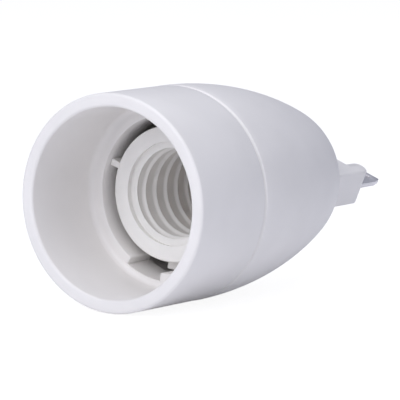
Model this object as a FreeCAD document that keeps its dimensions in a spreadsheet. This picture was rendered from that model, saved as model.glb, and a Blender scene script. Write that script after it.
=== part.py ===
import FreeCAD
import Part
import Sketcher

import math
import os

# A lamp socket adapter in millimetres.  Z is the lamp axis, the open mouth is at z = 0
# and the two-blade plug points up.  X runs along the wide side of the plug.

doc = FreeCAD.newDocument("adapter")
sizes = doc.addObject("Spreadsheet::Sheet", "Sizes")

SIZE_LIST = [
    ("thread_radius", 7.0),
    ("thread_length", 10.0),
    ("relief_depth", 0.25),
    ("lead_in_step", 0.55),
    ("lead_in_depth", 1.6),
    ("sleeve_wall", 2.95),
    ("sleeve_lead", 1.3),
    ("sleeve_edge", 0.3),
    ("sleeve_gap", 1.85),
    ("key_width", 1.3),
    ("key_gap", 0.1),
    ("key_root", 0.5),
    ("key_step", 0.9),
    ("key_length", 4.0),
    ("lug_width", 2.4),
    ("lug_angle", 72.0),
    ("lug_setback", 0.4),
    ("lug_length", 4.0),
    ("flange_reach", 1.2),
    ("flange_thick", 1.9),
    ("notch_shelf", 1.0),
    ("notch_angle", 27.5),
    ("rim_wall", 2.0),
    ("rim_edge", 0.5),
    ("cup_edge", 1.0),
    ("collar_depth", 16.4),
    ("collar_flare", 0.1),
    ("seam_edge", 0.25),
    ("spigot_step", 1.7),
    ("spigot_length", 2.6),
    ("spigot_gap", 0.05),
    ("tube_wall", 0.8),
    ("tube_length", 4.0),
    ("bead_height", 0.2),
    ("bead_width", 0.6),
    ("lip_length", 1.5),
    ("lip_slope", 0.3),
    ("shoulder_rise", 0.8),
    ("shoulder_bulge", 0.055),
    ("flank_arc", 80.15),
    ("flank_length", 26.76),
    ("crown_arc", 13.28),
    ("wall", 1.45),
    ("ledge_drop", 5.96),
    ("ceiling_rise", 4.64),
    ("block_wall", 0.5),
    ("block_thick", 5.9),
    ("block_length", 8.9),
    ("block_root", 0.4),
    ("block_corner", 0.5),
    ("pillar_rise", 3.5),
    ("pillar_round", 2.4),
    ("pillar_wall", 0.25),
    ("pillar_nose", 2.5),
    ("pin_spacing", 9.0),
    ("pin_width", 4.0),
    ("pin_thick", 0.8),
    ("pin_reach", 5.5),
    ("pin_drop", 5.0),
    ("pin_chamfer", 0.9),
    ("pin_slope", 1.7),
    ("pin_hole", 0.6),
    ("pin_hole_drop", 1.8),
    ("pin_gap", 0.05),
    ("bar_step", 0.6),
    ("bar_height", 1.0),
    ("base_thick", 3.0),
    ("base_gap", 0.5),
    ("base_boss", 0.8),
    ("boss_gap", 0.2),
    ("rivet_inset", 2.0),
    ("rivet_radius", 0.8),
    ("rivet_head", 1.4),
    ("rivet_head_height", 0.6),
    ("rivet_foot", 1.2),
    ("rivet_foot_height", 0.5),
    ("rivet_gap", 0.05),
    ("rivet_play", 0.35),
    ("leaf_thick", 0.4),
    ("leaf_width", 3.6),
    ("leaf_rise", 2.6),
    ("leaf_margin", 1.2),
    ("leaf_mitre", 0.2),
    ("leaf_flat", 1.0),
    ("leaf_tail", 1.1),
    ("leaf_curl", 0.7),
    ("leaf_hole_gap", 0.2),
    ("leaf_seat_gap", 0.05),
    ("side_width", 4.0),
    ("side_gap", 0.2),
    ("side_press", 0.6),
    ("side_length", 6.8),
    ("side_crest_drop", 5.1),
    ("side_slope", 1.8),
    ("side_margin", 1.3),
    ("side_flare", 0.1),
    ("window_gap", 0.5),
    ("window_lead", 1.4),
    ("window_depth", 1.9),
    ("tab_thick", 0.5),
    ("tab_width", 3.2),
    ("tab_height", 3.2),
    ("tab_inner", 2.0),
    ("tab_outer", 2.4),
    ("press_gap", 0.02),
    ("retainer_gap", 0.2),
    ("retainer_thick", 1.6),
    ("screw_inset", 1.8),
    ("screw_radius", 0.7),
    ("screw_hole_gap", 0.1),
    ("screw_head", 1.3),
    ("screw_head_height", 0.7),
    ("screw_slot", 0.35),
    ("screw_slot_depth", 0.3),
    ("screw_bite", 2.0),
    ("screw_well", 0.2),
    ("lead_radius", 0.75),
    ("lead_bend", 1.2),
    ("lead_drop", 0.8),
    ("lead_lift", 0.9),
    ("lead_gap", 0.1),
    ("lead_overlap", 2.6),
    ("overcut", 1.0),
]

# Sizes that follow from the ones above.  Radii grow outwards from the lamp's thread, and
# heights grow from the mouth to the tips of the pins.
FOLLOWING = {
    "lead_in_radius": "thread_radius + lead_in_step",
    "relief_radius": "thread_radius + relief_depth",
    "sleeve_radius": "thread_radius + sleeve_wall",
    "flange_radius": "sleeve_radius + sleeve_gap",
    "notch_radius": "flange_radius + flange_reach",
    "cup_radius": "notch_radius + notch_shelf",
    "rim_radius": "cup_radius + rim_wall",
    "seam_radius": "rim_radius + collar_flare",
    "spigot_radius": "seam_radius - spigot_step",
    "peak_radius": "seam_radius + shoulder_bulge",
    "flange_depth": "collar_depth - flange_thick",
    "sleeve_front": "collar_depth - sleeve_lead",
    "spigot_end": "collar_depth + spigot_length",
    "tube_radius": "notch_radius + tube_wall",
    "tube_end": "collar_depth + tube_length",
    "lip_end": "collar_depth + lip_length",
    "shoulder_height": "collar_depth + shoulder_rise",
    "knee_height": "shoulder_height + flank_length",
    "ledge_height": "knee_height - ledge_drop",
    "base_height": "ledge_height - base_thick",
    "ceiling_height": "knee_height + ceiling_rise",
    "block_start": "ceiling_height + block_root",
    "block_floor": "ceiling_height + block_length",
    "pillar_height": "block_floor + pillar_rise",
    "pin_tip": "pillar_height + pin_reach",
    "pin_tail": "ceiling_height - pin_drop",
    "flank_centre": "peak_radius - flank_arc",
    "knee_reach": "sqrt(flank_arc ^ 2 - flank_length ^ 2)",
    "knee_radius": "flank_centre + knee_reach",
    "crown_radius": "knee_radius - crown_arc * knee_reach / flank_arc",
    "crown_height": "knee_height - crown_arc * flank_length / flank_arc",
    "apex_height": "crown_height + sqrt(crown_arc ^ 2 - crown_radius ^ 2)",
    "inner_flank": "flank_arc - wall",
    "inner_knee_radius": "knee_radius - wall * knee_reach / flank_arc",
    "inner_knee_height": "knee_height - wall * flank_length / flank_arc",
    "lip_radius": "flank_centre + sqrt(inner_flank ^ 2 - (lip_end - shoulder_height) ^ 2)",
    "ledge_radius": "flank_centre + sqrt(inner_flank ^ 2 - (ledge_height - shoulder_height) ^ 2)",
    "ceiling_radius": "crown_radius + sqrt((crown_arc - wall) ^ 2 - (ceiling_height - crown_height) ^ 2)",
    "block_half": "(pin_spacing + pin_width) / 2 + block_wall",
    "thick_half": "block_thick / 2",
    "pillar_inner": "(pin_spacing - pin_width) / 2 - pillar_wall",
    "bar_width": "pin_width + 2 * bar_step",
    "slot_width": "pin_width + 2 * pin_gap",
    "slot_thick": "pin_thick + 2 * pin_gap",
    "key_outer": "flange_radius - key_gap",
    "key_inner": "sleeve_radius - key_root",
    "window_radius": "thread_radius + window_depth",
    "window_start": "base_height - side_length - window_lead",
    "base_radius": "ledge_radius - base_gap",
    "rivet_place": "thread_radius - rivet_inset",
    "leaf_seat": "base_height - base_boss - leaf_seat_gap",
    "leaf_top": "leaf_seat - leaf_rise",
    "side_radius": "thread_radius + side_gap",
    "side_outer": "side_radius + leaf_thick",
    "side_crest": "thread_radius - side_press",
    "side_crest_height": "leaf_seat - side_crest_drop",
    "side_end": "leaf_seat - side_length",
    "rivet_start": "leaf_seat - leaf_thick - rivet_play - rivet_head_height",
    "retainer_radius": "ceiling_radius - retainer_gap",
    "retainer_start": "ceiling_height - retainer_thick",
    "screw_place": "retainer_radius - screw_inset",
    "lead_start": "ledge_height + tab_thick + lead_lift",
    "lead_height": "pin_tail - lead_drop",
    "lead_place": "rivet_place + tab_outer - tab_thick - lead_radius - lead_gap",
    "lead_end_place": "pin_thick / 2 + lead_radius + lead_gap",
    "lead_run_x": "pin_spacing / 2",
    "lead_run_y": "lead_place - lead_end_place",
    "lead_run": "sqrt(lead_run_x ^ 2 + lead_run_y ^ 2)",
    "lead_level": "lead_height - lead_start",
    "lead_top": "pin_tail + lead_overlap - lead_start",
}

for row, (alias, value) in enumerate(SIZE_LIST, start=1):
    sizes.set("A%d" % row, alias)
    sizes.set("B%d" % row, str(value))
    sizes.setAlias("B%d" % row, alias)
doc.recompute()

NAMED = [alias for alias, value in SIZE_LIST]


def bind(text):
    """Turns the size names in a formula into references to the sheet."""
    out = ""
    word = ""
    for letter in str(text) + " ":
        if letter.isalnum() or letter == "_":
            word += letter
            continue
        if word in NAMED:
            word = "Sizes." + word
        elif word in FOLLOWING:
            word = "(" + bind(FOLLOWING[word]) + ")"
        out += word + letter
        word = ""
    return out.strip()


def number(text):
    """The present value of a formula."""
    result = sizes.evalExpression(bind(text))
    return float(getattr(result, "Value", result))


def bound(item, name, text):
    item.setExpression(name, bind(text))


def outline(body, plane_name, label, points, arcs=None):
    """A closed sketch.  Each point is a pair of formulas, and arcs holds the radius of an edge.

    The sign of a radius tells on which side of the edge the centre lies."""
    arcs = arcs or {}
    sketch = body.newObject("Sketcher::SketchObject", label)
    plane = [item for item in body.Origin.OriginFeatures if item.Role == plane_name][0]
    sketch.AttachmentSupport = (plane, [""])
    sketch.MapMode = "FlatFace"
    count = len(points)
    spots = [FreeCAD.Vector(number(x), number(y), 0) for x, y in points]
    for index in range(count):
        start = spots[index]
        end = spots[(index + 1) % count]
        if index in arcs:
            radius = number(arcs[index])
            chord = end - start
            reach = math.sqrt(max(radius * radius - chord.Length ** 2 / 4.0, 0.0))
            side = FreeCAD.Vector(-chord.y, chord.x, 0).normalize()
            centre = (start + end) * 0.5 + side * math.copysign(reach, radius)
            first = math.atan2(start.y - centre.y, start.x - centre.x)
            last = math.atan2(end.y - centre.y, end.x - centre.x)
            circle = Part.Circle(centre, FreeCAD.Vector(0, 0, 1), abs(radius))
            if radius > 0:
                sketch.addGeometry(Part.ArcOfCircle(circle, first, last), False)
            else:
                sketch.addGeometry(Part.ArcOfCircle(circle, last, first), False)
        else:
            sketch.addGeometry(Part.LineSegment(start, end), False)

    def tail(index):
        return 1 if index in arcs and number(arcs[index]) < 0 else 2

    def head(index):
        return 2 if index in arcs and number(arcs[index]) < 0 else 1

    for index in range(count):
        after = (index + 1) % count
        sketch.addConstraint(Sketcher.Constraint("Coincident", index, tail(index), after, head(after)))
    for index, (x, y) in enumerate(points):
        for kind, formula in (("DistanceX", x), ("DistanceY", y)):
            value = number(formula)
            if value == 0 and str(formula) == "0":
                axis = -2 if kind == "DistanceX" else -1
                sketch.addConstraint(Sketcher.Constraint("PointOnObject", index, head(index), axis))
                continue
            made = sketch.addConstraint(Sketcher.Constraint(kind, -1, 1, index, head(index), value))
            bound(sketch, "Constraints[%d]" % made, formula)
    for index, formula in arcs.items():
        made = sketch.addConstraint(Sketcher.Constraint("Radius", index, abs(number(formula))))
        bound(sketch, "Constraints[%d]" % made, "abs(" + str(formula) + ")")
    sketch.Visibility = False
    return sketch


def turned(name, points, arcs=None):
    """A body made by turning an outline of radius and height about Z."""
    body = doc.addObject("PartDesign::Body", name)
    sketch = outline(body, "XZ_Plane", name + "Outline", points, arcs)
    solid = body.newObject("PartDesign::Revolution", name + "Turned")
    solid.Profile = sketch
    solid.ReferenceAxis = (sketch, ["V_Axis"])
    solid.Angle = 360
    return body


def padded(name, plane_name, points, length, arcs=None, middle=True):
    """A body made by extruding an outline, to both sides of its plane or to one."""
    body = doc.addObject("PartDesign::Body", name)
    sketch = outline(body, plane_name, name + "Outline", points, arcs)
    solid = body.newObject("PartDesign::Pad", name + "Pad")
    solid.Profile = sketch
    solid.Midplane = middle
    bound(solid, "Length", length)
    return body


def box(name, x, y, z, size_x, size_y, size_z, turn=None):
    """A box centred on x and y that starts at height z."""
    item = doc.addObject("Part::Box", name)
    bound(item, "Length", size_x)
    bound(item, "Width", size_y)
    bound(item, "Height", size_z)
    if turn is None:
        bound(item, "Placement.Base.x", "(%s) - (%s) / 2" % (x, size_x))
        bound(item, "Placement.Base.y", "(%s) - (%s) / 2" % (y, size_y))
    else:
        item.Placement.Rotation = FreeCAD.Rotation(FreeCAD.Vector(0, 0, 1), number(turn))
        bound(item, "Placement.Rotation.Angle", turn)
        corner = "((%s) - (%s) / 2)" % (x, size_x)
        edge = "((%s) - (%s) / 2)" % (y, size_y)
        bound(item, "Placement.Base.x", "%s * cos(%s) - %s * sin(%s)" % (corner, turn, edge, turn))
        bound(item, "Placement.Base.y", "%s * sin(%s) + %s * cos(%s)" % (corner, turn, edge, turn))
    bound(item, "Placement.Base.z", z)
    return item


def rod(name, x, y, z, radius, length):
    """An upright cylinder that starts at height z."""
    item = doc.addObject("Part::Cylinder", name)
    bound(item, "Radius", radius)
    bound(item, "Height", length)
    bound(item, "Placement.Base.x", x)
    bound(item, "Placement.Base.y", y)
    bound(item, "Placement.Base.z", z)
    return item


def joined(name, items):
    item = doc.addObject("Part::MultiFuse", name)
    item.Shapes = items
    item.Refine = True
    return item


def shared(name, items):
    item = doc.addObject("Part::MultiCommon", name)
    item.Shapes = items
    return item


def cut(name, base, items):
    item = doc.addObject("Part::Cut", name)
    item.Base = base
    item.Tool = items[0] if len(items) == 1 else joined(name + "Tools", items)
    item.Refine = True
    return item


NODES = []


def node(label, item):
    item.Label = label
    NODES.append((label, item))


# Front collar: deep cup, notched inner tube, and a spigot that snaps into the housing.

collarTurned = turned(
    "CollarBody",
    [
        ("cup_radius + rim_edge", "0"),
        ("rim_radius - rim_edge", "0"),
        ("rim_radius", "rim_edge"),
        ("seam_radius", "collar_depth - seam_edge"),
        ("seam_radius - seam_edge", "collar_depth"),
        ("spigot_radius", "collar_depth"),
        ("spigot_radius", "spigot_end - bead_width - bead_height"),
        ("spigot_radius + bead_height", "spigot_end - bead_width"),
        ("spigot_radius + bead_height", "spigot_end - bead_height"),
        ("spigot_radius", "spigot_end"),
        ("tube_radius", "spigot_end"),
        ("tube_radius", "tube_end"),
        ("flange_radius", "tube_end"),
        ("flange_radius", "flange_depth"),
        ("cup_radius - cup_edge", "flange_depth"),
        ("cup_radius", "flange_depth - cup_edge"),
        ("cup_radius", "rim_edge"),
    ],
)
notchTools = []
for name, middle in (("NotchBack", "90"), ("NotchFront", "270")):
    notch = doc.addObject("Part::Cylinder", name)
    bound(notch, "Radius", "notch_radius")
    bound(notch, "Height", "tube_end - flange_depth + 2 * overcut")
    bound(notch, "Angle", "notch_angle")
    bound(notch, "Placement.Base.z", "flange_depth - overcut")
    notch.Placement.Rotation = FreeCAD.Rotation(FreeCAD.Vector(0, 0, 1), 1)
    bound(notch, "Placement.Rotation.Angle", middle + " - notch_angle / 2")
    notchTools.append(notch)
node("collar", cut("Collar", collarTurned, notchTools))

# Bullet-shaped housing with the plug block and its two pillars moulded on.

shell = turned(
    "ShellBody",
    [
        ("spigot_radius + spigot_gap", "collar_depth"),
        ("seam_radius - seam_edge", "collar_depth"),
        ("seam_radius", "collar_depth + seam_edge"),
        ("peak_radius", "shoulder_height"),
        ("knee_radius", "knee_height"),
        ("0", "apex_height"),
        ("0", "ceiling_height"),
        ("ceiling_radius", "ceiling_height"),
        ("inner_knee_radius", "inner_knee_height"),
        ("inner_knee_radius", "ledge_height"),
        ("ledge_radius", "ledge_height"),
        ("lip_radius", "lip_end"),
        ("spigot_radius + spigot_gap", "lip_end - lip_slope"),
    ],
    {3: "flank_arc", 4: "crown_arc"},
)
block = padded(
    "BlockBody",
    "XY_Plane",
    [
        ("-block_half + block_corner", "-thick_half"),
        ("block_half - block_corner", "-thick_half"),
        ("block_half", "-thick_half + block_corner"),
        ("block_half", "thick_half - block_corner"),
        ("block_half - block_corner", "thick_half"),
        ("-block_half + block_corner", "thick_half"),
        ("-block_half", "thick_half - block_corner"),
        ("-block_half", "-thick_half + block_corner"),
    ],
    "block_floor - block_start",
    {1: "block_corner", 3: "block_corner", 5: "block_corner", 7: "block_corner"},
    middle=False,
)
bound(block, "Placement.Base.z", "block_start")
pillars = []
for name, turn in (("Right", 0), ("Left", 180)):
    plan = padded(
        "Pillar" + name + "Plan",
        "XY_Plane",
        [
            ("pillar_inner + pillar_nose", "-thick_half"),
            ("block_half - block_corner", "-thick_half"),
            ("block_half", "-thick_half + block_corner"),
            ("block_half", "thick_half - block_corner"),
            ("block_half - block_corner", "thick_half"),
            ("pillar_inner + pillar_nose", "thick_half"),
            ("pillar_inner", "thick_half - pillar_nose"),
            ("pillar_inner", "-thick_half + pillar_nose"),
        ],
        "pillar_rise + overcut",
        {1: "block_corner", 3: "block_corner", 5: "pillar_nose", 7: "pillar_nose"},
        middle=False,
    )
    plan.Placement.Rotation = FreeCAD.Rotation(FreeCAD.Vector(0, 0, 1), turn)
    bound(plan, "Placement.Base.z", "block_floor - overcut")
    side = padded(
        "Pillar" + name + "Side",
        "XZ_Plane",
        [
            ("pillar_inner - overcut", "block_floor - 2 * overcut"),
            ("block_half", "block_floor - 2 * overcut"),
            ("block_half", "pillar_height - pillar_round"),
            ("block_half - pillar_round", "pillar_height"),
            ("pillar_inner - overcut", "pillar_height"),
        ],
        "block_thick + 2 * overcut",
        {2: "pillar_round"},
    )
    side.Placement.Rotation = FreeCAD.Rotation(FreeCAD.Vector(0, 0, 1), turn)
    pillars.append(shared("Pillar" + name, [plan, side]))
housingTools = []
for name, place in (("Right", "pin_spacing / 2"), ("Left", "-pin_spacing / 2")):
    slotStart = "pin_tail - overcut"
    slotLength = "pillar_height - pin_tail + 2 * overcut"
    housingTools.append(box("PinSlot" + name, place, "0", slotStart, "slot_width", "slot_thick", slotLength))
    barStart = "ceiling_height - overcut"
    barSlot = "bar_width + 2 * pin_gap"
    barDepth = "bar_height + overcut"
    housingTools.append(box("BarSlot" + name, place, "0", barStart, barSlot, "slot_thick", barDepth))
for name, place in (("Back", "screw_place"), ("Front", "-screw_place")):
    holeStart = "ceiling_height - overcut"
    holeDepth = "screw_bite + screw_well + overcut"
    housingTools.append(rod("ScrewHole" + name, "0", place, holeStart, "screw_radius", holeDepth))
whole = joined("HousingSolid", [shell, block] + pillars)
node("dome_housing", cut("DomeHousing", whole, housingTools))

# Screw sleeve: plain bore at the wall of the thread, relief behind it, lead-in, keys and lugs.

sleeveTurned = turned(
    "SleeveBody",
    [
        ("lead_in_radius", "sleeve_front"),
        ("sleeve_radius - sleeve_edge", "sleeve_front"),
        ("sleeve_radius", "sleeve_front + sleeve_edge"),
        ("sleeve_radius", "base_height"),
        ("relief_radius", "base_height"),
        ("relief_radius", "sleeve_front + lead_in_depth + thread_length"),
        ("thread_radius", "sleeve_front + lead_in_depth + thread_length"),
        ("thread_radius", "sleeve_front + lead_in_depth"),
    ],
)
keyMiddle = "(key_outer + key_inner) / 2"
keyDepth = "key_outer - key_inner"
keyHeight = "tube_end + key_gap - sleeve_front"
stepMiddle = "(key_outer + key_step + key_inner) / 2"
stepDepth = "key_outer + key_step - key_inner"
stepStart = "tube_end + key_gap"
sleeveItems = [sleeveTurned]
for name, turn in (("Right", "0"), ("Left", "180")):
    key = box("Key" + name, keyMiddle, "0", "sleeve_front", keyDepth, "key_width", keyHeight, turn)
    step = box("KeyStep" + name, stepMiddle, "0", stepStart, stepDepth, "key_width", "key_length", turn)
    sleeveItems.extend([key, step])
for name, turn in (("Back", "lug_angle"), ("Front", "lug_angle + 180")):
    lugStart = "collar_depth + lug_setback"
    sleeveItems.append(box("Lug" + name, keyMiddle, "0", lugStart, keyDepth, "lug_width", "lug_length", turn))
sleeveSolid = joined("SleeveSolid", sleeveItems)
window = box(
    "SideWindow",
    "0",
    "-(window_radius + thread_radius - 2 * overcut) / 2",
    "window_start",
    "side_width + 2 * window_gap",
    "window_depth + 2 * overcut",
    "base_height - window_start + overcut",
)
node("threaded_sleeve", cut("ThreadedSleeve", sleeveSolid, [window]))

# Contact base: a disc behind the sleeve that rests on the ledge of the housing.

baseTurned = turned(
    "BaseBody",
    [
        ("0", "base_height - base_boss"),
        ("thread_radius - boss_gap", "base_height - base_boss"),
        ("thread_radius - boss_gap", "base_height"),
        ("base_radius", "base_height"),
        ("base_radius", "ledge_height"),
        ("0", "ledge_height"),
    ],
)
baseTools = []
for name, place in (("Back", "rivet_place"), ("Front", "-rivet_place")):
    holeStart = "leaf_seat - overcut"
    holeLength = "ledge_height - leaf_seat + 2 * overcut"
    baseTools.append(rod("RivetHole" + name, "0", place, holeStart, "rivet_radius + rivet_gap", holeLength))
node("contact_base", cut("ContactBase", baseTurned, baseTools))

# Spring contacts: a leaf under the lamp's eyelet and a strip beside its screw shell.

centre = padded(
    "CentreLeafBody",
    "YZ_Plane",
    [
        ("rivet_place + leaf_margin", "leaf_seat"),
        ("rivet_place - leaf_margin", "leaf_seat"),
        ("leaf_flat", "leaf_top"),
        ("-leaf_flat", "leaf_top"),
        ("-leaf_flat - leaf_tail", "leaf_top + leaf_curl"),
        ("-leaf_flat - leaf_tail - leaf_mitre", "leaf_top + leaf_curl - leaf_thick"),
        ("-leaf_flat - leaf_mitre / 2", "leaf_top - leaf_thick"),
        ("leaf_flat - leaf_mitre / 2", "leaf_top - leaf_thick"),
        ("rivet_place - leaf_margin - leaf_mitre", "leaf_seat - leaf_thick"),
        ("rivet_place + leaf_margin", "leaf_seat - leaf_thick"),
    ],
    "leaf_width",
)
holeStart = "leaf_seat - leaf_thick - overcut"
holeLength = "leaf_thick + 2 * overcut"
holeRadius = "rivet_radius + leaf_hole_gap"
leafHole = rod("LeafHole", "0", "rivet_place", holeStart, holeRadius, holeLength)
node("centre_contact", cut("CentreContact", centre, [leafHole]))
side = padded(
    "SideLeafBody",
    "YZ_Plane",
    [
        ("-rivet_place + side_margin", "leaf_seat"),
        ("-rivet_place + side_margin", "leaf_seat - leaf_thick"),
        ("-side_radius", "leaf_seat - leaf_thick"),
        ("-side_radius", "side_crest_height + side_slope"),
        ("-side_crest", "side_crest_height"),
        ("-side_radius - side_flare", "side_end"),
        ("-side_outer - side_flare", "side_end"),
        ("-side_crest - leaf_thick - side_flare", "side_crest_height"),
        ("-side_outer", "side_crest_height + side_slope"),
        ("-side_outer", "leaf_seat"),
    ],
    "side_width",
)
sideHole = rod("SideHole", "0", "-rivet_place", holeStart, holeRadius, holeLength)
node("side_contact", cut("SideContact", side, [sideHole]))

# Rivets join each contact, through the base, to its terminal tab.

for label, name, place in (
    ("centre_rivet", "CentreRivet", "rivet_place"),
    ("side_rivet", "SideRivet", "-rivet_place"),
):
    shankLength = "ledge_height + tab_thick - rivet_start"
    items = [
        rod(name + "Head", "0", place, "rivet_start", "rivet_head", "rivet_head_height"),
        rod(name + "Shank", "0", place, "rivet_start", "rivet_radius", shankLength),
        rod(name + "Foot", "0", place, "ledge_height + tab_thick", "rivet_foot", "rivet_foot_height"),
    ]
    node(label, joined(name, items))
for label, name, sign, turn in (
    ("centre_terminal", "CentreTab", "", "90"),
    ("side_terminal", "SideTab", "-", "270"),
):
    flat = box(
        name + "Flat",
        "rivet_place + (tab_outer - tab_inner) / 2",
        "0",
        "ledge_height",
        "tab_outer + tab_inner",
        "tab_width",
        "tab_thick",
        turn,
    )
    upright = box(
        name + "Upright",
        "rivet_place + tab_outer - tab_thick / 2",
        "0",
        "ledge_height",
        "tab_thick",
        "tab_width",
        "tab_height",
        turn,
    )
    holeRadius = "rivet_radius + press_gap"
    hole = rod(name + "Hole", "0", sign + "rivet_place", "ledge_height - overcut", holeRadius, "3 * overcut")
    node(label, cut(name, joined(name + "Solid", [flat, upright]), [hole]))

# Plug blades: flat pins with a cross bar that seats in the housing.

for label, name, place in (
    ("live_pin", "LivePin", "pin_spacing / 2"),
    ("neutral_pin", "NeutralPin", "-pin_spacing / 2"),
):
    blade = padded(
        name + "Body",
        "XZ_Plane",
        [
            ("-pin_width / 2", "pin_tail"),
            ("pin_width / 2", "pin_tail"),
            ("pin_width / 2", "pin_tip - pin_slope"),
            ("pin_width / 2 - pin_chamfer", "pin_tip"),
            ("-pin_width / 2 + pin_chamfer", "pin_tip"),
            ("-pin_width / 2", "pin_tip - pin_slope"),
        ],
        "pin_thick",
    )
    bound(blade, "Placement.Base.x", place)
    bar = box(name + "Bar", place, "0", "ceiling_height", "bar_width", "pin_thick", "bar_height")
    hole = doc.addObject("Part::Cylinder", name + "Hole")
    bound(hole, "Radius", "pin_hole")
    bound(hole, "Height", "pin_thick + 2 * overcut")
    bound(hole, "Placement.Base.x", place)
    bound(hole, "Placement.Base.y", "pin_thick / 2 + overcut")
    bound(hole, "Placement.Base.z", "pin_tip - pin_hole_drop")
    hole.Placement.Rotation = FreeCAD.Rotation(FreeCAD.Vector(1, 0, 0), 90)
    node(label, cut(name, joined(name + "Solid", [blade, bar]), [hole]))

# Retainer disc and its two screws hold the pins against the ceiling.

disc = rod("RetainerDisc", "0", "0", "retainer_start", "retainer_radius", "retainer_thick")
discTools = []
toolStart = "retainer_start - overcut"
toolLength = "retainer_thick + 2 * overcut"
for name, place in (("Right", "pin_spacing / 2"), ("Left", "-pin_spacing / 2")):
    discTools.append(box("DiscSlot" + name, place, "0", toolStart, "slot_width", "slot_thick", toolLength))
holeRadius = "screw_radius + screw_hole_gap"
for name, place in (("Back", "screw_place"), ("Front", "-screw_place")):
    discTools.append(rod("DiscHole" + name, "0", place, toolStart, holeRadius, toolLength))
node("pin_retainer", cut("PinRetainer", disc, discTools))
for label, name, place in (
    ("retainer_screw_1", "ScrewBack", "screw_place"),
    ("retainer_screw_2", "ScrewFront", "-screw_place"),
):
    headStart = "retainer_start - screw_head_height"
    shankRadius = "screw_radius - press_gap"
    head = rod(name + "Head", "0", place, headStart, "screw_head", "screw_head_height")
    shank = rod(name + "Shank", "0", place, "retainer_start", shankRadius, "retainer_thick + screw_bite")
    slotDepth = "screw_slot_depth + overcut"
    slot = box(name + "Slot", "0", place, headStart + " - overcut", "3 * screw_head", "screw_slot", slotDepth)
    node(label, cut(name, joined(name + "Solid", [head, shank]), [slot]))

# Insulated leads: upright at both ends, with one bend each way between.


def lead(name, sign, base_turn):
    """One lead, drawn in its own upright plane and then turned into place."""
    body = doc.addObject("PartDesign::Body", name)
    planes = {item.Role: item for item in body.Origin.OriginFeatures}
    ring = body.newObject("Sketcher::SketchObject", name + "Ring")
    ring.AttachmentSupport = (planes["XY_Plane"], [""])
    ring.MapMode = "FlatFace"
    ring.addGeometry(Part.Circle(FreeCAD.Vector(), FreeCAD.Vector(0, 0, 1), number("lead_radius")), False)
    ring.addConstraint(Sketcher.Constraint("Coincident", 0, 3, -1, 1))
    made = ring.addConstraint(Sketcher.Constraint("Radius", 0, number("lead_radius")))
    bound(ring, "Constraints[%d]" % made, "lead_radius")
    ring.Visibility = False
    path = body.newObject("Sketcher::SketchObject", name + "Path")
    path.AttachmentSupport = (planes["XZ_Plane"], [""])
    path.MapMode = "FlatFace"
    bend = number("lead_bend")
    level = number("lead_level")
    reach = number("lead_run")
    top = number("lead_top")
    turns = [(0, 0), (0, level - bend), (bend, level), (reach - bend, level), (reach, level + bend)]
    spots = [FreeCAD.Vector(x, y, 0) for x, y in turns + [(reach, top)]]
    upward = FreeCAD.Vector(0, 0, 1)
    first = Part.Circle(FreeCAD.Vector(bend, level - bend, 0), upward, bend)
    second = Part.Circle(FreeCAD.Vector(reach - bend, level + bend, 0), upward, bend)
    path.addGeometry(Part.LineSegment(spots[0], spots[1]), False)
    path.addGeometry(Part.ArcOfCircle(first, math.pi / 2, math.pi), False)
    path.addGeometry(Part.LineSegment(spots[2], spots[3]), False)
    path.addGeometry(Part.ArcOfCircle(second, -math.pi / 2, 0), False)
    path.addGeometry(Part.LineSegment(spots[4], spots[5]), False)
    path.addConstraint(Sketcher.Constraint("Coincident", 0, 1, -1, 1))
    path.addConstraint(Sketcher.Constraint("Vertical", 0))
    path.addConstraint(Sketcher.Constraint("Horizontal", 2))
    path.addConstraint(Sketcher.Constraint("Vertical", 4))
    path.addConstraint(Sketcher.Constraint("Tangent", 0, 2, 1, 2))
    path.addConstraint(Sketcher.Constraint("Tangent", 1, 1, 2, 1))
    path.addConstraint(Sketcher.Constraint("Tangent", 2, 2, 3, 1))
    path.addConstraint(Sketcher.Constraint("Tangent", 3, 2, 4, 1))
    for arc in (1, 3):
        made = path.addConstraint(Sketcher.Constraint("Radius", arc, bend))
        bound(path, "Constraints[%d]" % made, "lead_bend")
    made = path.addConstraint(Sketcher.Constraint("DistanceY", -1, 1, 2, 1, level))
    bound(path, "Constraints[%d]" % made, "lead_level")
    made = path.addConstraint(Sketcher.Constraint("DistanceX", -1, 1, 4, 2, reach))
    bound(path, "Constraints[%d]" % made, "lead_run")
    made = path.addConstraint(Sketcher.Constraint("DistanceY", -1, 1, 4, 2, top))
    bound(path, "Constraints[%d]" % made, "lead_top")
    path.Visibility = False
    pipe = body.newObject("PartDesign::AdditivePipe", name + "Pipe")
    pipe.Profile = ring
    pipe.Spine = (path, ["Edge%d" % edge for edge in range(1, 6)])
    turn = "%s deg - atan2(lead_run_y; lead_run_x)" % base_turn
    body.Placement.Rotation = FreeCAD.Rotation(FreeCAD.Vector(0, 0, 1), number(turn))
    bound(body, "Placement.Rotation.Angle", turn)
    bound(body, "Placement.Base.y", sign + "lead_place")
    bound(body, "Placement.Base.z", "lead_start")
    return body


node("live_lead", lead("LiveLead", "", "0"))
node("neutral_lead", lead("NeutralLead", "-", "180"))

doc.recompute()

problems = []
for item in doc.Objects:
    if any(word in ("Invalid", "Error") for word in item.State):
        problems.append(item.Name)
for label, item in NODES:
    if item.Shape.isNull() or not item.Shape.isValid() or not item.Shape.Solids:
        problems.append(label)
if problems:
    raise RuntimeError("bad objects: " + ", ".join(problems))
os.makedirs("parts", exist_ok=True)
for label, item in NODES:
    item.Shape.exportStep("parts/" + label + ".step")
    bounds = item.Shape.BoundBox
    print("%-18s %8.2f mm3 z %.2f to %.2f solids %d" % (
        label, item.Shape.Volume, bounds.ZMin, bounds.ZMax, len(item.Shape.Solids)))
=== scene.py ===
import math

import bmesh
import bpy
from mathutils import Matrix, Vector


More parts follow.
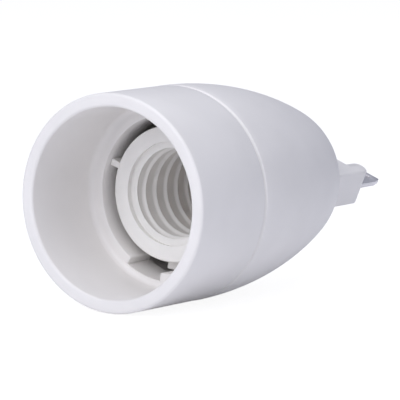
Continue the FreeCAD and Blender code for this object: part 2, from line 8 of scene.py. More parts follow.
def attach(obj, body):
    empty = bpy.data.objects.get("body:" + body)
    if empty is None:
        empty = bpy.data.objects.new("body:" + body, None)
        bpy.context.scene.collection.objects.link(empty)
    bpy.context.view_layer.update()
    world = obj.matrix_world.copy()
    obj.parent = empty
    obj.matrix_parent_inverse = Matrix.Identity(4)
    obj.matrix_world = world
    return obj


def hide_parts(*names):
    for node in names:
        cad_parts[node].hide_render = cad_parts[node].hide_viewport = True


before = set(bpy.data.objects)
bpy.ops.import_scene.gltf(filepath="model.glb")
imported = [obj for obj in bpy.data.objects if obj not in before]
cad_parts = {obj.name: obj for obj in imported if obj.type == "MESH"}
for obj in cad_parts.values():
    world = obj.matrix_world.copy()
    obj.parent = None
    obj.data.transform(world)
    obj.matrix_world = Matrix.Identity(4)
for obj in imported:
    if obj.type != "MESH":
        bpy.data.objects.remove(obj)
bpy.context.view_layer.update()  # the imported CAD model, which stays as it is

# A lamp socket adapter.  The lamp turns into the mouth at z = 0 and the two blades point up.
# Shapes are drawn in millimetres and made metres when a piece is finished.

scene = bpy.context.scene
perMillimetre = 0.001

spinSteps = 144  # 2.5 degrees each, so that the notches, keys and lugs are whole steps wide
cornerSteps = 5  # in the rounding of a spun outline's corner
easeSteps = 2  # in an eased edge
easeAngle = 30  # edges that turn by more degrees than this are eased
facetAngle = 40  # the same for blades and inner parts, whose small rounds have coarse facets
shadeAngle = 32  # edges that turn by more degrees than this shade sharp
nearby = 0.01  # slack when points are picked by their place, mm
wallSlack = 0.02  # the same for faces of a round wall, whose middles lie a little inside it
mergeGap = 0.0005  # spun points this near are made one, mm


def linearColour(hexText):
    parts = [int(hexText[place:place + 2], 16) / 255 for place in (1, 3, 5)]
    # The sRGB curve: a straight foot, then a power.
    lit = [part / 12.92 if part <= 0.04045 else ((part + 0.055) / 1.055) ** 2.4 for part in parts]
    return (*lit, 1.0)


def emptyTree(owner):
    owner.use_nodes = True
    owner.node_tree.nodes.clear()
    return owner.node_tree


def addNode(tree, kind, settings=None, links=None):
    made = tree.nodes.new(kind)
    for name, value in (settings or {}).items():
        if name in made.inputs:
            made.inputs[name].default_value = value
        else:
            setattr(made, name, value)
    for name, source in (links or {}).items():
        tree.links.new(source, made.inputs[name])
    return made


def patternScale(millimetres):
    return 1 / (millimetres * perMillimetre)  # a noise cell of that size, on Object coordinates


cloudSpan = (0.35, 0.65)  # the part of the noise's range in which one colour runs into the other


def makeMaterial(name, finish):
    # Broad faint clouds between two near colours, and a fine grain for the gloss and the bump.
    material = bpy.data.materials.new(name)
    tree = emptyTree(material)
    place = addNode(tree, "ShaderNodeTexCoord").outputs["Object"]
    grainPlace = place
    if "stretch" in finish:
        grainPlace = addNode(tree, "ShaderNodeMapping", {"Scale": finish["stretch"]},
                             {"Vector": place}).outputs["Vector"]
    cloud = addNode(tree, "ShaderNodeTexNoise",
                    {"Scale": patternScale(finish["cloudSize"]), "Detail": finish["cloudDetail"]},
                    {"Vector": place})
    grain = addNode(tree, "ShaderNodeTexNoise",
                    {"Scale": patternScale(finish["grainSize"]), "Detail": finish["grainDetail"]},
                    {"Vector": grainPlace})
    colour = addNode(tree, "ShaderNodeValToRGB", None, {"Fac": cloud.outputs["Fac"]})
    for stop, key, position in zip(colour.color_ramp.elements, ("shade", "light"), cloudSpan):
        stop.position = position
        stop.color = linearColour(finish[key])
    gloss = addNode(tree, "ShaderNodeMapRange", {"To Min": finish["glossy"], "To Max": finish["dull"]},
                    {"Value": grain.outputs["Fac"]})
    bump = addNode(tree, "ShaderNodeBump",
                   {"Strength": 1.0, "Distance": finish["grainHeight"] * perMillimetre},
                   {"Height": grain.outputs["Fac"]})
    shader = addNode(tree, "ShaderNodeBsdfPrincipled", finish["shader"],
                     {"Base Color": colour.outputs["Color"], "Roughness": gloss.outputs["Result"],
                      "Normal": bump.outputs["Normal"]})
    addNode(tree, "ShaderNodeOutputMaterial", None, {"Surface": shader.outputs["BSDF"]})
    return material


plastic = {"cloudDetail": 3.0, "grainDetail": 2.0}
metal = {"cloudDetail": 2.0, "grainDetail": 4.0, "shader": {"Metallic": 1.0}}

# Sizes and heights are in mm.  "stretch" squeezes the grain on an axis, which leaves lines along the others.
# Moulded ABS from a spark-eroded tool: an even satin white.  The real grain is about 0.03 mm, and is drawn
# coarser so that it shows.
housingFinish = {**plastic, "light": "#F4F1EE", "shade": "#F0EDEA", "cloudSize": 9, "grainSize": 0.35,
                 "grainHeight": 0.006, "glossy": 0.36, "dull": 0.46, "shader": {"IOR": 1.54}}
# Moulded PBT polyester, which takes the lamp's heat: a little creamier and duller than the ABS, with the
# same fine grain drawn coarser.
insulatorFinish = {**plastic, "light": "#F9F7F3", "shade": "#F5F3EF", "cloudSize": 6, "grainSize": 0.3,
                   "grainHeight": 0.006, "glossy": 0.42, "dull": 0.52, "shader": {"IOR": 1.57}}
# PVC wire insulation, drawn through a die: smooth and slightly soft in its gloss.
brownFinish = {**plastic, "light": "#6B4226", "shade": "#5E3A22", "cloudSize": 4, "grainSize": 0.4,
               "grainHeight": 0.004, "glossy": 0.34, "dull": 0.46, "shader": {"IOR": 1.53}}
blueFinish = {**brownFinish, "light": "#2F6DB5", "shade": "#285FA0"}
# Nickel-plated brass, blanked and tumbled: pale and soft-edged, with faint lengthwise draw lines.  They
# are about 0.02 mm apart, and are drawn at 0.15 mm so that they show.
pinFinish = {**metal, "light": "#F1EFF0", "shade": "#E6E4E5", "stretch": (8, 8, 1), "grainSize": 1.2,
             "cloudSize": 3, "grainHeight": 0.004, "glossy": 0.34, "dull": 0.5}
# Rolled phosphor bronze strip: warm, with roll lines along the spring, drawn coarser in the same way.
bronzeFinish = {**metal, "light": "#C68E63", "shade": "#B07A50", "stretch": (8, 1, 1), "grainSize": 1.0,
                "cloudSize": 3, "grainHeight": 0.004, "glossy": 0.28, "dull": 0.45}
# Brass rivets and tabs, tumbled after stamping: yellow and dull, with small dents.
brassFinish = {**metal, "light": "#C6AE78", "shade": "#B39A66", "grainSize": 0.5, "cloudSize": 2,
               "grainHeight": 0.008, "glossy": 0.3, "dull": 0.46}
# Zinc-plated steel screws: cool grey with a light haze.
screwFinish = {**metal, "light": "#B9BDC2", "shade": "#A3A8AE", "grainSize": 0.4, "cloudSize": 1.5,
               "grainHeight": 0.006, "glossy": 0.3, "dull": 0.48}

mouldedAbs = makeMaterial("mouldedWhiteAbs", housingFinish)
mouldedPbt = makeMaterial("mouldedWhitePbt", insulatorFinish)
brownPvc = makeMaterial("brownPvcInsulation", brownFinish)
bluePvc = makeMaterial("bluePvcInsulation", blueFinish)
platedPin = makeMaterial("nickelPlatedBrass", pinFinish)
springBronze = makeMaterial("rolledPhosphorBronze", bronzeFinish)
dullBrass = makeMaterial("tumbledBrass", brassFinish)
platedScrew = makeMaterial("zincPlatedSteel", screwFinish)
print("materials made")


def vertsOf(made, key="geom"):
    return [item for item in made[key] if isinstance(item, bmesh.types.BMVert)]


def unique(items):
    return list(dict.fromkeys(items))  # once each, in their first order, which a set doesn't keep


def roundCorner(bm, vert, size, steps):
    bmesh.ops.bevel(bm, geom=[vert], offset=size, offset_type="OFFSET", affect="VERTICES", segments=steps,
                    profile=0.5, material=-1, clamp_overlap=True)


def easeEdges(bm, edges, size):
    bmesh.ops.bevel(bm, geom=edges, offset=size, offset_type="OFFSET", affect="EDGES", segments=easeSteps,
                    profile=0.5, material=-1, clamp_overlap=True)


def sharpEdges(edges, degrees):
    return [edge for edge in edges if edge.is_manifold and edge.calc_face_angle() > math.radians(degrees)]


def joinRing(bm, ring):
    for vert, following in zip(ring, ring[1:] + ring[:1]):
        bm.edges.new((vert, following))


def drawOutline(bm, path):
    # Half of a section, to be spun.  A corner is (radius, height, rounding); an arc that goes on from
    # the last corner is (centre radius, centre height, degrees, steps).
    verts = []
    rounded = []
    for spot in path:
        if len(spot) == 3:
            radius, height, size = spot
            vert = bm.verts.new((radius, 0, height))
            if verts:
                bm.edges.new((verts[-1], vert))
            if size:
                rounded.append((vert, size))
        else:
            radius, height, degrees, steps = spot
            made = bmesh.ops.spin(bm, geom=[verts[-1]], cent=(radius, 0, height), axis=(0, -1, 0),
                                  angle=math.radians(degrees), steps=steps)
            vert = vertsOf(made, "geom_last")[0]
        verts.append(vert)
    bm.edges.new((verts[-1], verts[0]))
    for vert, size in rounded:
        roundCorner(bm, vert, size, cornerSteps)


def spinAll(bm):
    bmesh.ops.spin(bm, geom=bm.verts[:] + bm.edges[:], cent=(0, 0, 0), axis=(0, 0, 1), angle=math.tau,
                   steps=spinSteps, use_merge=True)
    bmesh.ops.remove_doubles(bm, verts=bm.verts[:], dist=mergeGap)
    halfStep = Matrix.Rotation(math.pi / spinSteps, 3, "Z")  # puts the middle of a face on the X axis
    bmesh.ops.rotate(bm, cent=(0, 0, 0), matrix=halfStep, verts=bm.verts[:])
    bmesh.ops.recalc_face_normals(bm, faces=bm.faces[:])


def radiusOf(spot):
    return math.hypot(spot.x, spot.y)


def angleOf(spot):
    return math.degrees(math.atan2(spot.y, spot.x)) % 360


def within(spot, middle, halfAngle):
    return abs((angleOf(spot) - middle + 180) % 360 - 180) < halfAngle


def wallFaces(bm, radius, low, high):
    # The faces of a round wall between two heights.
    middles = [(face, face.calc_center_median()) for face in bm.faces]
    return [face for face, middle in middles
            if abs(radiusOf(middle) - radius) < wallSlack and low < middle.z < high]


def pushFaces(bm, faces, share, edgeSize):
    # Draws a patch of a round wall in or out, and eases its new edges.
    made = bmesh.ops.extrude_face_region(bm, geom=faces)
    bmesh.ops.delete(bm, geom=faces, context="FACES")
    moved = vertsOf(made)
    bmesh.ops.scale(bm, vec=(share, share, 1), verts=moved)
    around = unique(edge for vert in moved for edge in vert.link_edges)
    easeEdges(bm, sharpEdges(around, easeAngle), edgeSize)


def extrudeFaces(bm, faces, move):
    made = bmesh.ops.extrude_face_region(bm, geom=faces)
    bmesh.ops.translate(bm, vec=move, verts=vertsOf(made))
    return [item for item in made["geom"] if isinstance(item, bmesh.types.BMFace)]


def finishPiece(bm, name, nodeName, material, bodyName="holder"):
    bmesh.ops.scale(bm, vec=(perMillimetre,) * 3, verts=bm.verts[:])
    mesh = bpy.data.meshes.new(name)
    bm.to_mesh(mesh)
    bm.free()
    mesh.materials.append(material)
    mesh.shade_smooth()
    mesh.set_sharp_from_angle(angle=math.radians(shadeAngle))
    piece = bpy.data.objects.new(name, mesh)
    scene.collection.objects.link(piece)
    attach(piece, bodyName)
    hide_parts(nodeName)
    print("made", name, "with", len(mesh.polygons), "faces")


# Front collar: deep cup, inner tube with its two notches, snap spigot
collar = {"rimRadius": 16.0, "cupRadius": 14.0, "rimRound": 0.5, "cupFillet": 0.9, "seamRadius": 16.1,
          "depth": 16.4, "seamRound": 0.45, "spigotRadius": 14.4, "spigotEnd": 19.0, "spigotRound": 0.2,
          "tubeOuter": 13.8, "tubeInner": 11.8, "tubeFront": 14.5, "tubeEnd": 20.4, "tubeEase": 0.2,
          "notchRadius": 13.0, "notches": (87.5, 267.5), "notchHalf": 13.75}

bm = bmesh.new()
drawOutline(bm, [
    (collar["cupRadius"], 0, collar["rimRound"]),
    (collar["rimRadius"], 0, collar["rimRound"]),
    (collar["seamRadius"], collar["depth"], collar["seamRound"]),
    (collar["spigotRadius"], collar["depth"], 0),
    (collar["spigotRadius"], collar["spigotEnd"], collar["spigotRound"]),
    (collar["tubeOuter"], collar["spigotEnd"], 0),
    (collar["tubeOuter"], collar["tubeEnd"], collar["spigotRound"]),
    (collar["notchRadius"], collar["tubeEnd"], 0),
    (collar["notchRadius"], collar["tubeFront"], 0),
    (collar["cupRadius"], collar["tubeFront"], collar["cupFillet"]),
])
spinAll(bm)
# The tube is drawn at the notches' radius, and all but the notches is then pushed in.
tubeFaces = [face for face in wallFaces(bm, collar["notchRadius"], collar["tubeFront"], collar["tubeEnd"])
             if not any(within(face.calc_center_median(), middle, collar["notchHalf"])
                        for middle in collar["notches"])]
pushFaces(bm, tubeFaces, collar["tubeInner"] / collar["notchRadius"], collar["tubeEase"])
finishPiece(bm, "front_collar", "collar", mouldedAbs)


# Bullet-shaped housing: two arcs outside and inside, with the plug block and its two pillars
dome = {"start": 16.54, "peakRadius": 16.155, "shoulder": 17.2, "flankArc": 80.15, "kneeHeight": 43.96,
        "crownArc": 13.28, "wall": 1.45, "ledge": 38.0, "ceiling": 48.6, "boreRadius": 14.45, "lipEnd": 17.9,
        "lipSlope": 0.3, "seamEdge": 0.34, "flankSteps": 28, "crownSteps": 18, "innerSteps": 9}
block = {"half": 7.0, "thickHalf": 2.95, "start": 49.6, "floor": 57.5, "corner": 0.5, "pillarTop": 61.0,
         "pillarInner": 2.25, "nose": 2.7, "noseSteps": 10, "topRound": 2.1, "topCuts": 8, "cutGap": 0.0001,
         "cutsAbove": 0.5, "edge": 0.45, "edgeSteps": 4, "saddleEdge": 0.15, "saddleAngle": 60}

flankCentre = dome["peakRadius"] - dome["flankArc"]
kneeAngle = math.asin((dome["kneeHeight"] - dome["shoulder"]) / dome["flankArc"])
kneeRadius = flankCentre + dome["flankArc"] * math.cos(kneeAngle)
crownCentre = (kneeRadius - dome["crownArc"] * math.cos(kneeAngle),
               dome["kneeHeight"] - dome["crownArc"] * math.sin(kneeAngle))
topAngle = math.acos(-crownCentre[0] / dome["crownArc"])
innerFlank = dome["flankArc"] - dome["wall"]
innerCrown = dome["crownArc"] - dome["wall"]
ceilingAngle = math.asin((dome["ceiling"] - crownCentre[1]) / innerCrown)
ledgeAngle = math.asin((dome["ledge"] - dome["shoulder"]) / innerFlank)
lipAngle = math.asin((dome["lipEnd"] - dome["shoulder"]) / innerFlank)

bm = bmesh.new()
drawOutline(bm, [
    (dome["boreRadius"], dome["start"], 0),
    (collar["seamRadius"] - dome["seamEdge"], dome["start"], 0),
    (collar["seamRadius"], dome["start"] + dome["seamEdge"], 0),
    (dome["peakRadius"], dome["shoulder"], 0),
    (flankCentre, dome["shoulder"], math.degrees(kneeAngle), dome["flankSteps"]),
    (*crownCentre, math.degrees(topAngle - kneeAngle), dome["crownSteps"]),
    (0, dome["ceiling"], 0),
    (crownCentre[0] + innerCrown * math.cos(ceilingAngle), dome["ceiling"], 0),
    (*crownCentre, -math.degrees(ceilingAngle - kneeAngle), dome["innerSteps"]),
    (flankCentre + innerFlank * math.cos(kneeAngle), dome["ledge"], 0),
    (flankCentre + innerFlank * math.cos(ledgeAngle), dome["ledge"], 0),
    (flankCentre, dome["shoulder"], -math.degrees(ledgeAngle - lipAngle), dome["innerSteps"]),
    (dome["boreRadius"], dome["lipEnd"] - dome["lipSlope"], 0),
])
spinAll(bm)

# The plan is a D for each pillar and the saddle between them.  All three rise, then the D shapes alone.
plug = bmesh.new()
noseEnd = block["pillarInner"] + block["nose"]
for sign in (1, -1):
    corners = [(block["pillarInner"], -block["thickHalf"], block["nose"]),
               (block["half"], -block["thickHalf"], block["corner"]),
               (block["half"], block["thickHalf"], block["corner"]),
               (block["pillarInner"], block["thickHalf"], block["nose"])]
    ring = [plug.verts.new((sign * x, y, block["start"])) for x, y, size in corners]
    joinRing(plug, ring)
    for vert, (x, y, size) in zip(ring, corners):
        roundCorner(plug, vert, size, block["noseSteps"])
    loop = [edge for edge in plug.edges if all(sign * vert.co.x > 0 for vert in edge.verts)]
    bmesh.ops.edgeloop_fill(plug, edges=loop)
saddleLoop = [edge for edge in plug.edges if all(abs(vert.co.x) < noseEnd + nearby for vert in edge.verts)]
for side in (1, -1):
    ends = [vert for vert in plug.verts if abs(abs(vert.co.x) - noseEnd) < nearby
            and abs(vert.co.y - side * block["thickHalf"]) < nearby]
    saddleLoop.append(plug.edges.new(ends))
bmesh.ops.edgeloop_fill(plug, edges=saddleLoop)

tops = extrudeFaces(plug, plug.faces[:], (0, 0, block["floor"] - block["start"]))
pillarPlans = [face for face in tops if abs(face.calc_center_median().x) > block["pillarInner"]]
edgeStart = block["pillarTop"] - block["edge"]
tops = extrudeFaces(plug, pillarPlans, (0, 0, edgeStart - block["floor"]))
bmesh.ops.delete(plug, geom=pillarPlans, context="FACES")
bmesh.ops.recalc_face_normals(plug, faces=plug.faces[:])
for step in range(block["edgeSteps"]):
    before, after = [math.radians(90 * place / block["edgeSteps"]) for place in (step, step + 1)]
    bmesh.ops.inset_region(plug, faces=tops, use_even_offset=True,
                           thickness=block["edge"] * (math.cos(before) - math.cos(after)),
                           depth=block["edge"] * (math.sin(after) - math.sin(before)))
# The outer end of each pillar's top falls away in a quarter round.
roundStart = block["half"] - block["topRound"]
for sign in (1, -1):
    for place in range(block["topCuts"]):
        cutAngle = math.radians(90 * place / block["topCuts"])
        cutX = sign * (roundStart + block["topRound"] * math.sin(cutAngle))
        upper = [face for face in plug.faces if sign * face.calc_center_median().x > 0
                 and max(vert.co.z for vert in face.verts) > block["floor"] + block["cutsAbove"]]
        geom = upper + unique(edge for face in upper for edge in face.edges)
        geom += unique(vert for face in upper for vert in face.verts)
        bmesh.ops.bisect_plane(plug, geom=geom, dist=block["cutGap"], plane_co=(cutX, 0, 0),
                               plane_no=(1, 0, 0))
for vert in plug.verts:
    past = abs(vert.co.x) - roundStart
    if vert.co.z > edgeStart - nearby and past > 0:
        vert.co.z -= block["topRound"] - math.sqrt(max(0, block["topRound"] ** 2 - past ** 2))
saddleRim = [edge for edge in sharpEdges(plug.edges, block["saddleAngle"])
             if all(abs(vert.co.z - block["floor"]) < nearby for vert in edge.verts)]
easeEdges(plug, saddleRim, block["saddleEdge"])
plugMesh = bpy.data.meshes.new("plug")
plug.to_mesh(plugMesh)
plug.free()
bm.from_mesh(plugMesh)
bpy.data.meshes.remove(plugMesh)
finishPiece(bm, "bullet_housing", "dome_housing", mouldedAbs)


# Screw sleeve: the lamp's knuckle thread behind a narrow shelf, two keys, two lugs and the contact's window
sleeve = {"front": 15.4, "back": 35.0, "outer": 10.2, "edge": 0.3, "bore": 7.0, "mouth": 7.75,
          "mouthEdge": 0.1, "mouthBack": 7.9, "shelf": 16.5, "shelfRise": 0.1, "rowHeight": 0.12,
          "keyAngles": (178.75, 358.75), "keyHalf": 2.5, "keyReach": 11.7, "stepReach": 12.6,
          "stepStart": 20.5, "stepEnd": 24.5, "lugAngles": (72.5, 252.5), "lugHalf": 6.25, "lugStart": 17.8,
          "lugEnd": 20.8, "padEdge": 0.12, "windowMiddle": 270, "windowHalf": 20, "windowStart": 26.85,
          "windowRadius": 8.9, "windowEdge": 0.1}
thread = {"pitch": 2.822, "depth": 0.42, "end": 31.5, "fade": 0.5, "phase": 0.385, "sharpness": 8,
          "lip": 0.15, "lipLength": 0.3}

threadStart = sleeve["shelf"] + sleeve["shelfRise"]
bm = bmesh.new()
drawOutline(bm, [
    (sleeve["mouth"], sleeve["front"], sleeve["mouthEdge"]),
    (sleeve["outer"], sleeve["front"], sleeve["edge"]),
    (sleeve["outer"], sleeve["lugStart"], 0),
    (sleeve["outer"], sleeve["stepStart"], 0),
    (sleeve["outer"], sleeve["lugEnd"], 0),
    (sleeve["outer"], sleeve["stepEnd"], 0),
    (sleeve["outer"], sleeve["back"], 0),
    (sleeve["bore"], sleeve["back"], 0),
    (sleeve["bore"], threadStart, 0),
    (sleeve["mouthBack"], sleeve["shelf"], 0),
])
boreEdges = [edge for edge in bm.edges if all(abs(vert.co.x - sleeve["bore"]) < nearby for vert in edge.verts)]
rows = round((sleeve["back"] - sleeve["shelf"]) / sleeve["rowHeight"])
bmesh.ops.subdivide_edges(bm, edges=boreEdges, cuts=rows - 1)
spinAll(bm)


def threadRise(height, degrees):
    # How far the rounded thread stands in from the bore wall.  It climbs one pitch for each turn, fades out
    # at its end and starts from a small lip at the shelf.
    turn = (height / thread["pitch"] - degrees / 360 + thread["phase"]) % 1
    share = max(0.0, min(1.0, (thread["end"] - height) / thread["fade"]))
    ridge = share * thread["depth"] * (0.5 - 0.5 * math.cos(math.tau * turn)) ** thread["sharpness"]
    pastShelf = (height - threadStart) / thread["lipLength"]
    return max(ridge, thread["lip"] * math.sqrt(max(0.0, 1 - pastShelf ** 2)))


def atWindow(spot):
    return spot.z > sleeve["windowStart"] and within(spot, sleeve["windowMiddle"], sleeve["windowHalf"])


for vert in bm.verts:
    radius = radiusOf(vert.co)
    if abs(radius - sleeve["bore"]) < nearby and not atWindow(vert.co):
        shrink = 1 - threadRise(vert.co.z, angleOf(vert.co)) / radius
        vert.co.x *= shrink
        vert.co.y *= shrink
windowFaces = [face for face in bm.faces
               if all(radiusOf(vert.co) < sleeve["bore"] + nearby and atWindow(vert.co) for vert in face.verts)]
pushFaces(bm, windowFaces, sleeve["windowRadius"] / sleeve["bore"], sleeve["windowEdge"])
pads = []
for middle in sleeve["keyAngles"]:
    pads.append((middle, sleeve["keyHalf"], sleeve["front"], sleeve["stepStart"], sleeve["keyReach"]))
    pads.append((middle, sleeve["keyHalf"], sleeve["stepStart"], sleeve["stepEnd"], sleeve["stepReach"]))
for middle in sleeve["lugAngles"]:
    pads.append((middle, sleeve["lugHalf"], sleeve["lugStart"], sleeve["lugEnd"], sleeve["keyReach"]))
for middle, half, low, high, reach in pads:
    faces = [face for face in wallFaces(bm, sleeve["outer"], low, high)
             if within(face.calc_center_median(), middle, half)]
    pushFaces(bm, faces, reach / sleeve["outer"], sleeve["padEdge"])
finishPiece(bm, "screw_sleeve", "threaded_sleeve", mouldedPbt)


# Plug blades: flat, with sloped tips, a small hole and a cross bar that holds them in the housing
blade = {"spacing": 9.0, "width": 4.0, "thick": 0.8, "tail": 43.6, "tip": 66.5, "slope": 1.9, "nip": 0.55,
         "hole": 0.6, "holeSteps": 24, "holeDrop": 1.8, "barWidth": 5.2, "barStart": 48.6, "barHeight": 1.0,
         "edge": 0.12}

for pieceName, nodeName, sign in (("right_blade", "live_pin", 1), ("left_blade", "neutral_pin", -1)):
    bm = bmesh.new()
    centre = sign * blade["spacing"] / 2
    wide = blade["width"] / 2
    barWide = blade["barWidth"] / 2
    barEnd = blade["barStart"] + blade["barHeight"]
    sideUp = [(wide, blade["tail"]), (wide, blade["barStart"]), (barWide, blade["barStart"]),
              (barWide, barEnd), (wide, barEnd), (wide, blade["tip"] - blade["slope"]),
              (wide - blade["nip"], blade["tip"])]
    sideDown = [(-x, z) for x, z in reversed(sideUp)]
    joinRing(bm, [bm.verts.new((centre + x, 0, z)) for x, z in sideUp + sideDown])
    holePlace = Matrix.Translation((centre, 0, blade["tip"] - blade["holeDrop"]))
    bmesh.ops.create_circle(bm, cap_ends=False, segments=blade["holeSteps"], radius=blade["hole"],
                            matrix=holePlace @ Matrix.Rotation(math.pi / 2, 4, "X"))
    bmesh.ops.triangle_fill(bm, use_beauty=True, use_dissolve=False, edges=bm.edges[:])
    extrudeFaces(bm, bm.faces[:], (0, blade["thick"], 0))
    bmesh.ops.translate(bm, vec=(0, -blade["thick"] / 2, 0), verts=bm.verts[:])
    bmesh.ops.recalc_face_normals(bm, faces=bm.faces[:])
    easeEdges(bm, sharpEdges(bm.edges, facetAngle), blade["edge"])
    finishPiece(bm, pieceName, nodeName, platedPin)


# Inner parts: copies of the CAD shapes, merged and with their edges eased
innerParts = [  # node, slot, material, body, width of the eased edge in mm
    ("contact_base", "insulator_white", mouldedPbt, "holder", 0.12),
    ("centre_contact", "contact_bronze", springBronze, "centre_spring", 0.06),
    ("side_contact", "contact_bronze", springBronze, "side_spring", 0.06),
    ("centre_rivet", "rivet_metal", dullBrass, "holder", 0.15),
    ("side_rivet", "rivet_metal", dullBrass, "holder", 0.15),
    ("centre_terminal", "rivet_metal", dullBrass, "holder", 0.06),
    ("side_terminal", "rivet_metal", dullBrass, "holder", 0.06),
    ("pin_retainer", "insulator_white", mouldedPbt, "holder", 0.12),
    ("retainer_screw_1", "screw_steel", platedScrew, "holder", 0.1),
    ("retainer_screw_2", "screw_steel", platedScrew, "holder", 0.1),
]
cadCopy = {"mergeGap": 0.001, "flatAngle": 1}  # mm, and the degrees within which triangles are one face

for nodeName, slotName, material, bodyName, edgeSize in innerParts:
    bm = bmesh.new()
    bm.from_mesh(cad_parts[nodeName].data)
    bmesh.ops.scale(bm, vec=(1 / perMillimetre,) * 3, verts=bm.verts[:])
    bmesh.ops.remove_doubles(bm, verts=bm.verts[:], dist=cadCopy["mergeGap"])
    bmesh.ops.dissolve_limit(bm, angle_limit=math.radians(cadCopy["flatAngle"]), verts=bm.verts[:],
                             edges=bm.edges[:])
    easeEdges(bm, sharpEdges(bm.edges, facetAngle), edgeSize)
    finishPiece(bm, "eased_" + nodeName, nodeName, material, bodyName)
for nodeName, material in (("live_lead", brownPvc), ("neutral_lead", bluePvc)):
    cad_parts[nodeName].data.materials.clear()
    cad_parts[nodeName].data.materials.append(material)
print("inner parts made")


# Camera, at the photograph's place.  Angles are degrees; the distance is in mm, the focal length in pixels.
photo = {"tilt": 34.4, "lean": -9.54, "plugTurn": 34.0, "rimPixel": (109.95, 204.0), "distance": 430.9,
         "focal": 3000, "imageSize": 400, "sensor": 36, "clipStart": 0.01, "clipEnd": 20}

tilt = math.radians(photo["tilt"])
lean = math.radians(photo["lean"])
plugTurn = math.radians(photo["plugTurn"])
axis = Vector((0, 0, 1))
across = Vector((math.cos(plugTurn), -math.sin(plugTurn), 0))
upward = Vector((-math.sin(plugTurn), -math.cos(plugTurn), 0))
imageRight = (axis * math.sin(tilt) + across * math.cos(tilt)) * math.cos(lean) + upward * math.sin(lean)
imageDown = (axis * math.sin(tilt) + across * math.cos(tilt)) * math.sin(lean) - upward * math.cos(lean)
intoImage = axis * math.cos(tilt) - across * math.sin(tilt)
imageMiddle = photo["imageSize"] / 2
shift = [(pixel - imageMiddle) / photo["focal"] * photo["distance"] for pixel in photo["rimPixel"]]
cameraPlace = -(imageRight * shift[0] + imageDown * shift[1] + intoImage * photo["distance"]) * perMillimetre

camera = bpy.data.objects.new("photoCamera", bpy.data.cameras.new("photoCamera"))
scene.collection.objects.link(camera)
camera.data.sensor_width = photo["sensor"]
camera.data.lens = photo["focal"] * photo["sensor"] / photo["imageSize"]
cameraTurn = Matrix((imageRight, -imageDown, -intoImage)).transposed().to_4x4()
camera.matrix_world = Matrix.Translation(cameraPlace) @ cameraTurn
camera.data.clip_start = photo["clipStart"]
camera.data.clip_end = photo["clipEnd"]
scene.camera = camera
print("camera made")


# Studio: pale floor under the collar's side, white surround, soft panels.  The floor's gap is in mm from the
# lamp axis, its size in metres, as are the panels' size, distance and aim up the lamp axis.
studio = {"floorLean": 11.85, "floorGap": 16.15, "floorSize": 8.0, "floorColour": "#F4F4F6",
          "floorSeenColour": "#909092", "floorGlow": 0.9, "bounce": 0.06, "surround": 0.355,
          "surroundColour": "#E4E9FF", "whiteSeen": 1.2, "panelSize": 0.45, "panelDistance": 0.6,
          "panelAim": 0.025}
# Directions are (image right, image up, towards the camera).
panels = {
    "keyPanel": {"direction": (-0.42, 0.51, 0.75), "power": 1.68, "colour": "#FAFBFF"},
    "topPanel": {"direction": (0.0, 1.0, 0.25), "power": 1.2, "colour": "#F8F9FF"},
    "frontPanel": {"direction": (0.0, 0.15, 1.0), "power": 0.18, "colour": "#FFFFFF"},
    "backPanel": {"direction": (0.2, 0.9, -0.4), "power": 0.22, "colour": "#FFFFFF"},
}
plainWhite = linearColour("#FFFFFF")

floorLean = math.radians(studio["floorLean"])
floorNormal = upward * math.cos(floorLean) + across * math.sin(floorLean)
floorPlace = Matrix.Translation(floorNormal * -studio["floorGap"] * perMillimetre)
floorTurn = floorNormal.to_track_quat("Z", "Y").to_matrix().to_4x4()
bm = bmesh.new()
bmesh.ops.create_grid(bm, x_segments=1, y_segments=1, size=studio["floorSize"] / 2)
bmesh.ops.transform(bm, matrix=floorPlace @ floorTurn, verts=bm.verts[:])
floorMesh = bpy.data.meshes.new("studio_floor")
bm.to_mesh(floorMesh)
bm.free()
floor = bpy.data.objects.new("studio_floor", floorMesh)
scene.collection.objects.link(floor)

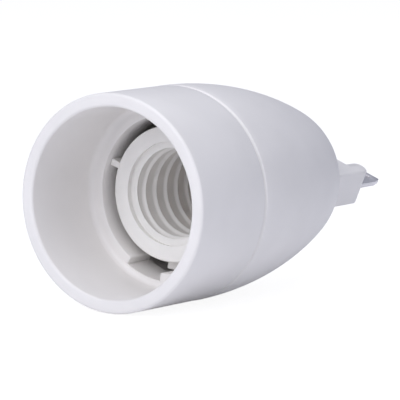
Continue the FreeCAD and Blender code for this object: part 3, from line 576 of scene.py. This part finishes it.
# The camera sees glowing paper, which burns out to white but still takes a shadow.  The object is lit by
# plain paper with a little light of its own.  From below, the floor is clear.
floorMaterial = bpy.data.materials.new("seamlessPaper")
tree = emptyTree(floorMaterial)
paper = addNode(tree, "ShaderNodeBsdfDiffuse", {"Color": linearColour(studio["floorColour"])})
bounce = addNode(tree, "ShaderNodeEmission", {"Color": plainWhite, "Strength": studio["bounce"]})
litPaper = addNode(tree, "ShaderNodeAddShader", None, {0: paper.outputs[0], 1: bounce.outputs[0]})
seenPaper = addNode(tree, "ShaderNodeBsdfDiffuse", {"Color": linearColour(studio["floorSeenColour"])})
glow = addNode(tree, "ShaderNodeEmission", {"Color": plainWhite, "Strength": studio["floorGlow"]})
glowingPaper = addNode(tree, "ShaderNodeAddShader", None, {0: seenPaper.outputs[0], 1: glow.outputs[0]})
rays = addNode(tree, "ShaderNodeLightPath")
topSide = addNode(tree, "ShaderNodeMixShader", None,
                  {0: rays.outputs["Is Camera Ray"], 1: litPaper.outputs[0], 2: glowingPaper.outputs[0]})
clear = addNode(tree, "ShaderNodeBsdfTransparent")
facing = addNode(tree, "ShaderNodeNewGeometry")
oneSided = addNode(tree, "ShaderNodeMixShader", None,
                   {0: facing.outputs["Backfacing"], 1: topSide.outputs[0], 2: clear.outputs[0]})
addNode(tree, "ShaderNodeOutputMaterial", None, {"Surface": oneSided.outputs[0]})
floorMesh.materials.append(floorMaterial)

# The surround lights the object faintly and bluish, and the camera sees it white.
world = bpy.data.worlds.new("whiteSurround")
scene.world = world
tree = emptyTree(world)
rays = addNode(tree, "ShaderNodeLightPath")
soft = addNode(tree, "ShaderNodeBackground",
               {"Color": linearColour(studio["surroundColour"]), "Strength": studio["surround"]})
white = addNode(tree, "ShaderNodeBackground", {"Color": plainWhite, "Strength": studio["whiteSeen"]})
surround = addNode(tree, "ShaderNodeMixShader", None,
                   {0: rays.outputs["Is Camera Ray"], 1: soft.outputs[0], 2: white.outputs[0]})
addNode(tree, "ShaderNodeOutputWorld", None, {"Surface": surround.outputs[0]})

panelAim = axis * studio["panelAim"]
for name, settings in panels.items():
    right, up, near = settings["direction"]
    away = (imageRight * right - imageDown * up - intoImage * near).normalized()
    light = bpy.data.lights.new(name, "AREA")
    light.shape = "SQUARE"
    light.size = studio["panelSize"]
    light.energy = settings["power"]
    light.color = linearColour(settings["colour"])[:3]
    panel = bpy.data.objects.new(name, light)
    scene.collection.objects.link(panel)
    panelTurn = away.to_track_quat("Z", "Y").to_matrix().to_4x4()
    panel.matrix_world = Matrix.Translation(panelAim + away * studio["panelDistance"]) @ panelTurn
scene.view_settings.view_transform = "Standard"
print("studio made")
